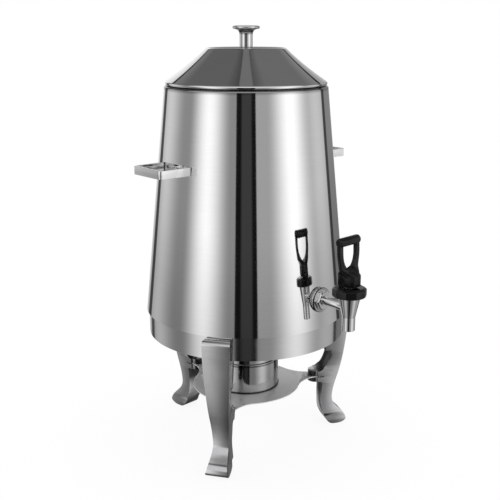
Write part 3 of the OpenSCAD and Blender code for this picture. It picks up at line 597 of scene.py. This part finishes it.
def coil_tree():
    """Winds a round wire up the Z axis, with its end turns closed."""
    tree, inp, out = new_group(
        "Coiled wire", "GeometryNodeTree",
        (("Geometry", "Geometry"), ("Turns", "Float", 4.5), ("Radius", "Float", 0.006),
         ("Rise", "Float", 0.01), ("Wire radius", "Float", 0.0006), ("Foot", "Vector"),
         ("Material", "Material")),
        (("Geometry", "Geometry"),))
    radius = inp.outputs["Radius"]
    spiral = add(tree, "GeometryNodeCurveSpiral", None, Resolution=40,
                 Rotations=inp.outputs["Turns"], Start_Radius=radius, End_Radius=radius, Height=0.0)
    along = add(tree, "GeometryNodeSplineParameter").outputs["Factor"]
    share = spread(tree, along, 0.0, 1.0, 0.0, 1.0, smooth=True)
    rise = add(tree, "ShaderNodeCombineXYZ", None,
               n2=reckon(tree, "MULTIPLY", share, inp.outputs["Rise"]))
    offset = reckon_vector(tree, "ADD", inp.outputs["Foot"], rise.outputs[0])
    wound = add(tree, "GeometryNodeSetPosition", None, Geometry=spiral.outputs[0], Offset=offset)
    section = add(tree, "GeometryNodeCurvePrimitiveCircle", None, Resolution=12,
                  Radius=inp.outputs["Wire radius"])
    wire = add(tree, "GeometryNodeCurveToMesh", None, Curve=wound.outputs[0],
               Profile_Curve=section.outputs["Curve"], Fill_Caps=True)
    end_tree(tree, wire.outputs[0], inp.outputs["Material"], out)
    return tree


TURNING = turning_tree()
COIL = coil_tree()


def turn(name, profile, material, sides):
    """A piece turned from its profile, a list of [radius, height] in millimetres, drawn so that
    it goes up on the outside."""
    mesh = bpy.data.meshes.new(name)
    mesh.from_pydata([(r * MM, 0.0, z * MM) for r, z in profile],
                     [(i, i + 1) for i in range(len(profile) - 1)], [])
    obj = place(name, mesh)
    modifier = obj.modifiers.new("turning", "NODES")
    modifier.node_group = TURNING
    give_inputs(modifier, {"Sides": sides, "Material": material})
    return settle(obj)


def arc(x, y, r, start, end, steps):
    """Points of an arc round (x, y), from one angle to the other in degrees."""
    angles = [math.radians(start + (end - start) * i / steps) for i in range(steps + 1)]
    return [(x + r * math.cos(angle), y + r * math.sin(angle)) for angle in angles]


def curve(a, b, c, d, steps):
    """Points of a cubic curve from a to d, without its first point."""
    points = []
    for i in range(1, steps + 1):
        t = i / steps
        s = 1 - t
        points.append(tuple(s ** 3 * a[k] + 3 * s * s * t * b[k] + 3 * s * t * t * c[k]
                            + t ** 3 * d[k] for k in (0, 1)))
    return points


# ---------- Lid and knob ----------

# The angle at which the lid's roll begins, inside its edge, in degrees
ROLL_START = 200
# How many points at the edge the inner skin leaves out, so that it ends inside the roll
ROLL_CLEAR = 4


def lid_profile():
    """The lid's outer skin from its roll up to the knob's hole, then its inner skin back down."""
    top_slope, edge_slope = math.radians(LID_TOP_SLOPE), math.radians(LID_EDGE_SLOPE)
    bend = (LID_FLAT_R + LID_SHOULDER * math.sin(top_slope),
            LID_TOP - LID_SHOULDER * (1 - math.cos(top_slope)))
    foot = (LID_R + LID_BEAD * math.sin(edge_slope), LID_Z + LID_BEAD * math.cos(edge_slope))
    # The slopes from the bend and from the foot meet here, and the sheet curves between them
    fall_top, fall_edge = math.tan(top_slope), math.tan(edge_slope)
    x = (bend[1] - foot[1] + fall_top * bend[0] - fall_edge * foot[0]) / (fall_top - fall_edge)
    meet = (x, bend[1] - fall_top * (x - bend[0]))
    third = [tuple((p[k] + 2 * meet[k]) / 3 for k in (0, 1)) for p in (bend, foot)]
    skin = [foot] + curve(foot, third[1], third[0], bend, 40)
    skin += arc(LID_FLAT_R, LID_TOP - LID_SHOULDER, LID_SHOULDER, 90 - LID_TOP_SLOPE, 90, 12)[1:]
    inner = []
    for i in range(len(skin) - 1, ROLL_CLEAR, -1):
        before, after = skin[i - 1], skin[min(i + 1, len(skin) - 1)]
        dx, dy = after[0] - before[0], after[1] - before[1]
        length = math.hypot(dx, dy)
        inner.append((skin[i][0] - SHEET * dy / length, skin[i][1] + SHEET * dx / length))
    roll = arc(LID_R, LID_Z, LID_BEAD, ROLL_START, 90 - LID_EDGE_SLOPE + 360, 28)
    hole = [(SCREW_HOLE_R, LID_TOP), (SCREW_HOLE_R, LID_TOP - SHEET)]
    return roll + skin[1:] + hole + inner + [roll[0]]


def knob_profile():
    """The knob's outside from its foot over its disc to the middle, then its screw hole."""
    low = KNOB_H - KNOB_DISC_H
    foot_r = KNOB_STEM_R - KNOB_FOOT_EDGE
    edge_r, edge_z = KNOB_R - KNOB_DISC_EDGE, low + 1.6
    stem_end = (KNOB_STEM_R, KNOB_H * 0.5)
    points = [(SCREW_HOLE_R, 0.0), (foot_r, 0.0)]
    points += arc(foot_r, KNOB_FOOT_EDGE, KNOB_FOOT_EDGE, -90, 0, 5)[1:]
    points += [(KNOB_STEM_R, KNOB_H * 0.25), stem_end]
    # The stem flares out under the disc, whose edge is round and whose top is domed
    points += curve(stem_end, (KNOB_STEM_R, low - 3.5), (KNOB_STEM_R + 1.5, low - 1),
                    (edge_r, edge_z - KNOB_DISC_EDGE), 20)
    edge = arc(edge_r, edge_z, KNOB_DISC_EDGE, -90, 60, 14)
    points += edge
    points += curve(edge[-1], (KNOB_R - 5, KNOB_H - 0.2), (KNOB_R / 3, KNOB_H), (0, KNOB_H), 14)
    points += [(0.0, KNOB_HOLE_H), (SCREW_HOLE_R, KNOB_HOLE_H), (SCREW_HOLE_R, 0.0)]
    return [(x, y + LID_TOP) for x, y in points]


hand_over(turn("lid_shell_finished", lid_profile(), POLISHED, sides=256), "lid_shell")
hand_over(turn("knob_finished", knob_profile(), KNOB, sides=128), "knob")

# ---------- Castings, bars, nuts and mouldings with rounded edges ----------

# Bearing of each leg from the tap, in degrees
LEG_ANGLES = {"leg_front_left": -60, "leg_front_right": 60, "leg_rear": 180}
# The legs' sides draw in behind their faces, as castings do: by this share over this depth
DRAFT = 0.14
DRAFT_DEPTH = 18 * MM
# Inside this radius is the boss that carries the shelf, which keeps its width
BOSS_R = 111 * MM
# The outer face's radius is taken from the points of one such step of height
LEVEL_STEP = 4 * MM
# Points nearer than this to a cut are on it
CUT_REACH = 0.02 * MM


def draft(form, bearing):
    """Narrows a leg from its outer face inwards, and leaves the boss that carries the shelf."""
    turn_to = math.radians(bearing)
    out = Vector((math.sin(turn_to), -math.cos(turn_to), 0.0))
    across = Vector((math.cos(turn_to), math.sin(turn_to), 0.0))
    form.normal_update()
    # The sides are cut across at each height where the outer face bends, so that they stay flat
    bends = {round(vert.co.z, 5) for face in form.faces if face.normal.dot(out) > 0.2
             for vert in face.verts}
    for bend in sorted(bends):
        bmesh.ops.bisect_plane(form, geom=form.verts[:] + form.edges[:] + form.faces[:],
                               dist=CUT_REACH, plane_co=(0.0, 0.0, bend), plane_no=(0.0, 0.0, 1.0))
    face_at = {}
    for vert in form.verts:
        step = round(vert.co.z / LEVEL_STEP)
        face_at[step] = max(face_at.get(step, 0.0), vert.co.dot(out))
    for vert in form.verts:
        step = round(vert.co.z / LEVEL_STEP)
        face_r = max(face_at.get(step + k, 0.0) for k in (-1, 0, 1))
        r = vert.co.dot(out)
        if r > BOSS_R:
            share = DRAFT * min(max((face_r - r) / DRAFT_DEPTH, 0.0), 1.0)
            vert.co -= across * (vert.co.dot(across) * share)


for leg, bearing in LEG_ANGLES.items():
    soften(leg, 0.45, 3, shape=lambda form: draft(form, bearing))
for bar in ("handle_left", "handle_right"):
    soften(bar, 0.5, 3)
soften("burner_shelf", 0.35)
soften("lever", 0.7, 3)
soften("bonnet_nut", 0.25)
soften("tap_hex_nut", 0.3)

# ---------- Spring ----------

spring = place("return_spring_finished", bpy.data.meshes.new("wire"))
winding = spring.modifiers.new("winding", "NODES")
winding.node_group = COIL
give_inputs(winding, {
    "Turns": SPRING_TURNS, "Radius": SPRING_R * MM, "Rise": (SPRING_HIGH - SPRING_LOW) * MM,
    "Wire radius": WIRE_R * MM, "Foot": (0.0, TAP_Y * MM, SPRING_LOW * MM), "Material": PLAIN,
})
hand_over(settle(spring), "return_spring")
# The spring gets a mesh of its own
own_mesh(spring)

# ---------- Studio ----------

# What stands round the object and shows in its steel, laid out from where the photograph was
# taken: bearings are in degrees from there, positive to the right, and heights in degrees too.
CAMERA_AT = Vector((-0.7752, -0.7752, 0.5475))
TOWARD = Vector((CAMERA_AT.x, CAMERA_AT.y, 0.0)).normalized()
ASIDE = Vector((-TOWARD.y, TOWARD.x, 0.0))

# Light between the boxes
AIR = 0.29
# Softboxes: bearing of the middle, half width, width of the soft edge, brightness
SOFTBOXES = ((-49, 31, 31, 0.89), (60, 34, 34, 0.86), (80, 80, 12, 0.11), (107, 34, 34, 0.24),
             (-122, 36, 36, 0.40), (-172, 36, 36, 0.70))
# Dark boards: bearing of the middle, half width, half width of the edge, brightness, height of
# the top edge, where OVERHEAD is a board without one
OVERHEAD = 90
BOARDS = ((0, 12.6, 0.5, 0.008, OVERHEAD), (0.6, 6.4, 1.2, 0.05, OVERHEAD),
          (-143.7, 6.3, 1.0, 0.08, OVERHEAD), (146, 20, 3.0, 0.25, 8),
          (128, 4.2, 1.0, 0.06, OVERHEAD), (180, 8.0, 2.0, 0.2, 10))
BOARD_TOP_EDGE = 2.0
# Ramps by height: the boxes' light falls off towards the floor, and further in the object's own
# shade on it
FLOOR_FALL = (-9.0, 0.0, 0.72, 1.0)
SHADE_FALL = (-56.0, -23.0, 0.25, 1.0)
# The light panel over the front, by height: its light, and where it begins
PANEL_LIGHT = (50.0, 56.0, 0.85, 0.35)
PANEL_START = (14.0, 24.0, 0.0, 1.0)
# The dark ceiling behind: its light by distance from the middle line, how its two sides differ,
# the glow at its foot by height, and the light strip along the middle line
CEILING_LIGHT = (0.062, 0.17, 0.075, 0.135)
CEILING_SIDES = (-0.05, 0.05, 0.95, 1.2)
CEILING_GLOW = (30.0, 44.0, 0.09, 0.0)
STRIP_PLACE = (0.056, 0.062, 1.0, 0.0)
STRIP_LIGHT = 0.175
# The ceiling's black edge: its brightness, and the heights where it begins and ends
EDGE_LIGHT = 0.015
EDGE_START = (26.5, 27.0, 0.0, 1.0)
EDGE_END = (29.5, 30.5, 0.0, 1.0)
# Where the front gives way to the back, by how far ahead it is
BACK_PLACE = (-0.03, 0.02, 1.0, 0.0)
DOME_R = 6.0
FLOOR_R = 4.0
# How far the floor is plain white, by distance from the middle in metres
FLOOR_WHITE = (0.1, 0.4, 0.9, 1.0)


def staged(name, mat, make, **sizes):
    """A piece of the studio, whose form one bmesh operator makes."""
    mesh = bpy.data.meshes.new(name)
    form = bmesh.new()
    make(form, **sizes)
    form.to_mesh(mesh)
    form.free()
    mesh.materials.append(mat)
    return place(name, mesh)


def studio_dome():
    """A dome that only the steel sees, with softboxes, dark boards and a dark ceiling on it."""
    mat, tree = empty_material("studio")
    where = add(tree, "ShaderNodeTexCoord").outputs["Object"]
    unit = reckon_vector(tree, "NORMALIZE", where)
    ahead = reckon_vector(tree, "DOT_PRODUCT", unit, TOWARD)
    side = reckon_vector(tree, "DOT_PRODUCT", unit, ASIDE)
    aside = reckon(tree, "ABSOLUTE", side)
    bearing = reckon(tree, "DEGREES", reckon(tree, "ARCTAN2", side, ahead))
    height = reckon(tree, "DEGREES", reckon(tree, "ARCSINE", height_of(tree, unit)))

    def off(centre):
        """Degrees between the bearing and centre, the short way round."""
        turned = reckon(tree, "ADD", reckon(tree, "SUBTRACT", bearing, float(centre)), 540.0)
        turned = reckon(tree, "MODULO", turned, 360.0)
        return reckon(tree, "ABSOLUTE", reckon(tree, "SUBTRACT", turned, 180.0))

    def choose(share, shown, else_shown):
        """shown where share is 1, else_shown where it is 0."""
        return add(tree, "ShaderNodeMix", {"data_type": "FLOAT"}, n0=share, n2=else_shown,
                   n3=shown).outputs[0]

    light = AIR
    for centre, half, edge, strength in SOFTBOXES:
        box = spread(tree, off(centre), float(half - edge), float(half), strength, 0.0, smooth=True)
        light = reckon(tree, "ADD", light, box)
    for centre, half, edge, dark, top in BOARDS:
        board = spread(tree, off(centre), half - edge, half + edge, 1.0, 0.0)
        if top < OVERHEAD:
            below = spread(tree, height, top - BOARD_TOP_EDGE, top + BOARD_TOP_EDGE, 1.0, 0.0)
            board = reckon(tree, "MULTIPLY", board, below)
        light = choose(board, dark, light)
    light = reckon(tree, "MULTIPLY", light, spread(tree, height, *FLOOR_FALL))
    light = reckon(tree, "MULTIPLY", light, spread(tree, height, *SHADE_FALL))
    panel = spread(tree, height, *PANEL_LIGHT, smooth=True)
    front = choose(spread(tree, height, *PANEL_START, smooth=True), panel, light)
    ceiling = spread(tree, aside, *CEILING_LIGHT)
    ceiling = reckon(tree, "MULTIPLY", ceiling, spread(tree, side, *CEILING_SIDES))
    ceiling = reckon(tree, "ADD", ceiling, spread(tree, height, *CEILING_GLOW))
    ceiling = choose(spread(tree, aside, *STRIP_PLACE), STRIP_LIGHT, ceiling)
    ceiling = choose(spread(tree, height, *EDGE_END), ceiling, EDGE_LIGHT)
    back = choose(spread(tree, height, *EDGE_START), ceiling, light)
    light = choose(spread(tree, ahead, *BACK_PLACE), back, front)
    glow = add(tree, "ShaderNodeEmission", None, Strength=light)
    add(tree, "ShaderNodeOutputMaterial", None, Surface=glow.outputs[0])
    dome = staged("studio", mat, bmesh.ops.create_icosphere, subdivisions=5, radius=DOME_R)
    dome.visible_camera = False
    dome.visible_diffuse = False
    dome.visible_shadow = False
    dome.visible_transmission = False
    return dome


def studio_floor():
    """A pale floor that keeps the object's shadow and fades into the white background."""
    mat, tree = empty_material("floor")
    where = add(tree, "ShaderNodeTexCoord").outputs["Object"]
    reach = reckon_vector(tree, "LENGTH", where)
    matt = add(tree, "ShaderNodeBsdfDiffuse", None, Color=(0.97, 0.97, 0.97, 1.0))
    white = add(tree, "ShaderNodeEmission", None, Strength=1.0)
    mix = add(tree, "ShaderNodeMixShader", None, n0=spread(tree, reach, *FLOOR_WHITE, smooth=True),
              n1=matt.outputs[0], n2=white.outputs[0])
    add(tree, "ShaderNodeOutputMaterial", None, Surface=mix.outputs[0])
    floor = staged("floor", mat, bmesh.ops.create_circle, cap_ends=True, segments=96,
                   radius=FLOOR_R)
    floor.visible_glossy = False
    return floor


studio_dome()
studio_floor()

scene = bpy.context.scene
scene.view_settings.view_transform = "Standard"
world = scene.world or bpy.data.worlds.new("studio air")
scene.world = world
world.use_nodes = True
background = world.node_tree.nodes["Background"]
background.inputs["Color"].default_value = (1.0, 1.0, 1.0, 1.0)
background.inputs["Strength"].default_value = 1.0

# ---------- Camera ----------

# Tilt down and turn, in degrees, and the lens and its frame in millimetres
CAMERA_TILT = 14.647
CAMERA_TURN = -45
LENS = 61.2
SENSOR = 36.0
# The picture's shift across and up, in widths of the frame
SHIFT = (0.0078, 0.001)

camera = bpy.data.objects.new("camera", bpy.data.cameras.new("camera"))
scene.collection.objects.link(camera)
camera.location = CAMERA_AT
camera.rotation_euler = (math.radians(90 - CAMERA_TILT), 0.0, math.radians(CAMERA_TURN))
camera.data.sensor_width = SENSOR
camera.data.lens = LENS
camera.data.shift_x, camera.data.shift_y = SHIFT
camera.data.clip_end = 50.0
scene.camera = camera
